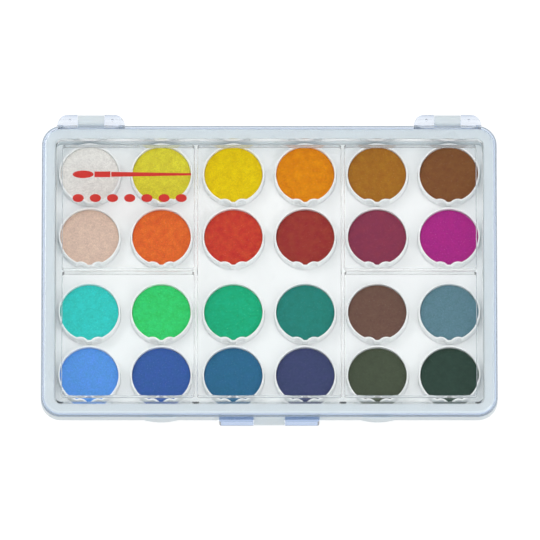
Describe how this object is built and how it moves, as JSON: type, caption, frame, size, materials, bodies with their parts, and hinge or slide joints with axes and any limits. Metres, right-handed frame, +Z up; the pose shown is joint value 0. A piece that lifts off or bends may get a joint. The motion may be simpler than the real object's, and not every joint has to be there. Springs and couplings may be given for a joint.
{
  "type": "gouache paint set box",
  "caption": "Flat hinged plastic box with a clear lid that opens into mixing wells, holding round pans of gouache paint in a white tray.",
  "frame": {"origin": "middle of the case's plan, on the underside of the base", "axes": "+Z up out of the lid, +X along the box, +Y to the hinges at the rear"},
  "size_m": [0.228, 0.1618, 0.0195],
  "materials": {
    "case_natural": "natural polystyrene, milky and slightly see-through, moulded satin",
    "lid_clear": "clear polystyrene, polished mould",
    "tray_white": "white polystyrene, satin",
    "pan_white": "white polystyrene, semi-gloss",
    "paint_white": "dry gouache, white, matt and finely grained",
    "paint_lemon_yellow": "dry gouache, lemon yellow, matt and finely grained",
    "paint_yellow": "dry gouache, yellow, matt and finely grained",
    "paint_orange_yellow": "dry gouache, orange yellow, matt and finely grained",
    "paint_ochre": "dry gouache, ochre, matt and finely grained",
    "paint_brown": "dry gouache, brown, matt and finely grained",
    "paint_flesh_tint": "dry gouache, flesh tint, matt and finely grained",
    "paint_orange": "dry gouache, orange, matt and finely grained",
    "paint_vermilion": "dry gouache, vermilion, matt and finely grained",
    "paint_carmine": "dry gouache, carmine, matt and finely grained",
    "paint_wine_red": "dry gouache, wine red, matt and finely grained",
    "paint_magenta": "dry gouache, magenta, matt and finely grained",
    "paint_turquoise": "dry gouache, turquoise, matt and finely grained",
    "paint_light_green": "dry gouache, light green, matt and finely grained",
    "paint_emerald_green": "dry gouache, emerald green, matt and finely grained",
    "paint_pine_green": "dry gouache, pine green, matt and finely grained",
    "paint_umber": "dry gouache, umber, matt and finely grained",
    "paint_grey": "dry gouache, grey, matt and finely grained",
    "paint_sky_blue": "dry gouache, sky blue, matt and finely grained",
    "paint_ultramarine": "dry gouache, ultramarine, matt and finely grained",
    "paint_prussian_blue": "dry gouache, prussian blue, matt and finely grained",
    "paint_violet": "dry gouache, violet, matt and finely grained",
    "paint_olive_green": "dry gouache, olive green, matt and finely grained",
    "paint_black": "dry gouache, black, matt and finely grained"
  },
  "bodies": {
    "case": {"base": "case_natural", "tray": "tray_white", "pan_white": "pan_white", "pan_lemon_yellow": "pan_white", "pan_yellow": "pan_white", "pan_orange_yellow": "pan_white", "pan_ochre": "pan_white", "pan_brown": "pan_white", "pan_flesh_tint": "pan_white", "pan_orange": "pan_white", "pan_vermilion": "pan_white", "pan_carmine": "pan_white", "pan_wine_red": "pan_white", "pan_magenta": "pan_white", "pan_turquoise": "pan_white", "pan_light_green": "pan_white", "pan_emerald_green": "pan_white", "pan_pine_green": "pan_white", "pan_umber": "pan_white", "pan_grey": "pan_white", "pan_sky_blue": "pan_white", "pan_ultramarine": "pan_white", "pan_prussian_blue": "pan_white", "pan_violet": "pan_white", "pan_olive_green": "pan_white", "pan_black": "pan_white", "paint_white": "paint_white", "paint_lemon_yellow": "paint_lemon_yellow", "paint_yellow": "paint_yellow", "paint_orange_yellow": "paint_orange_yellow", "paint_ochre": "paint_ochre", "paint_brown": "paint_brown", "paint_flesh_tint": "paint_flesh_tint", "paint_orange": "paint_orange", "paint_vermilion": "paint_vermilion", "paint_carmine": "paint_carmine", "paint_wine_red": "paint_wine_red", "paint_magenta": "paint_magenta", "paint_turquoise": "paint_turquoise", "paint_light_green": "paint_light_green", "paint_emerald_green": "paint_emerald_green", "paint_pine_green": "paint_pine_green", "paint_umber": "paint_umber", "paint_grey": "paint_grey", "paint_sky_blue": "paint_sky_blue", "paint_ultramarine": "paint_ultramarine", "paint_prussian_blue": "paint_prussian_blue", "paint_violet": "paint_violet", "paint_olive_green": "paint_olive_green", "paint_black": "paint_black"},
    "lid": {"lid": "lid_clear"}
  },
  "joints": [
    {"name": "lid_hinge", "type": "hinge", "parent": "case", "child": "lid", "pos_m": [0, 0.079, 0.0145], "axis": [-1, 0, 0], "range_deg": [0, 180]}
  ]
}
